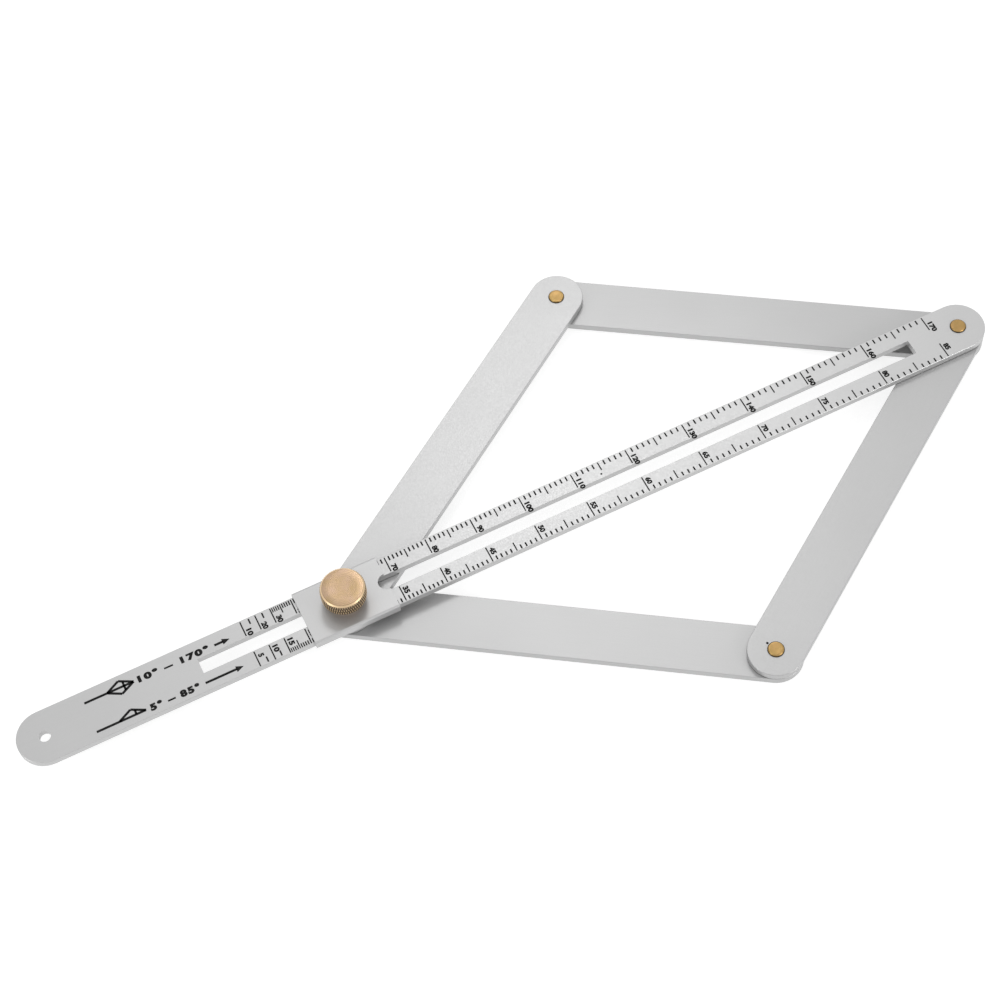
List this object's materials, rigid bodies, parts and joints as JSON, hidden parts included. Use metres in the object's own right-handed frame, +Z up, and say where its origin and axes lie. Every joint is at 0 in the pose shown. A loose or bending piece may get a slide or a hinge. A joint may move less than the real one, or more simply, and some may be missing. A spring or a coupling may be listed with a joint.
{
  "type": "folding angle ruler",
  "caption": "Slotted scale ruler with a folding rhombus of flat arms; a sliding channel reads the corner angle and a knurled knob clamps it.",
  "frame": {"origin": "centre of the object's box at the bottom, on the surface that the lower rivet heads and the screw head stand on", "axes": "+X along the ruler from the handle to the apex pivot, +Z up through the clamp knob, Y across the ruler with the rhombus symmetric about it"},
  "size_m": [0.4062, 0.2002, 0.0215],
  "materials": {
    "ruler_aluminium": "satin anodised, printed scales",
    "arm_aluminium": "satin anodised",
    "slider_aluminium": "satin anodised, bent sheet",
    "knob_brass": "turned and knurled",
    "rivet_brass": "turned",
    "washer_steel": "plain",
    "scale_ink": "matte print"
  },
  "bodies": {
    "ruler": {"scale_ruler": "ruler_aluminium", "apex_rivet": "rivet_brass", "apex_upper_washer": "washer_steel", "apex_lower_washer": "washer_steel"},
    "far_apex": {"far_apex_arm": "arm_aluminium", "far_corner_rivet": "rivet_brass", "far_corner_washer": "washer_steel"},
    "near_apex": {"near_apex_arm": "arm_aluminium", "near_corner_rivet": "rivet_brass", "near_corner_washer": "washer_steel"},
    "far_slider": {"far_slider_arm": "arm_aluminium"},
    "near_slider": {"near_slider_arm": "arm_aluminium"},
    "slider": {"slider_channel": "slider_aluminium", "clamp_screw": "knob_brass", "knob_washer": "knob_brass", "slider_upper_washer": "washer_steel", "slider_lower_washer": "washer_steel"},
    "knob": {"clamp_knob": "knob_brass"}
  },
  "joints": [
    {"name": "fold", "type": "hinge", "parent": "ruler", "child": "far_apex", "pos_m": [0.1925, 0, 0], "axis": [0, 0, -1], "range_deg": [-29, 51]},
    {"name": "near_fold", "type": "hinge", "parent": "ruler", "child": "near_apex", "pos_m": [0.1925, 0, 0], "axis": [0, 0, 1], "range_deg": [-29, 51]},
    {"name": "far_corner", "type": "hinge", "parent": "far_apex", "child": "far_slider", "pos_m": [0.05985, 0.08947, 0], "axis": [0, 0, 1], "range_deg": [-58, 102]},
    {"name": "near_corner", "type": "hinge", "parent": "near_apex", "child": "near_slider", "pos_m": [0.05985, -0.08947, 0], "axis": [0, 0, -1], "range_deg": [-58, 102]},
    {"name": "slider_pivot", "type": "hinge", "parent": "far_slider", "child": "slider", "pos_m": [-0.07279, 0, 0], "axis": [0, 0, -1], "range_deg": [-29, 51]},
    {"name": "knob_turn", "type": "hinge", "parent": "slider", "child": "knob", "pos_m": [-0.07279, 0, 0], "axis": [0, 0, 1], "range_deg": [0, 360]}
  ],
  "couplings": [
    {"joint": "near_fold", "follows": "fold", "ratio": 1},
    {"joint": "far_corner", "follows": "fold", "ratio": 2},
    {"joint": "near_corner", "follows": "fold", "ratio": 2},
    {"joint": "slider_pivot", "follows": "fold", "ratio": 1}
  ]
}
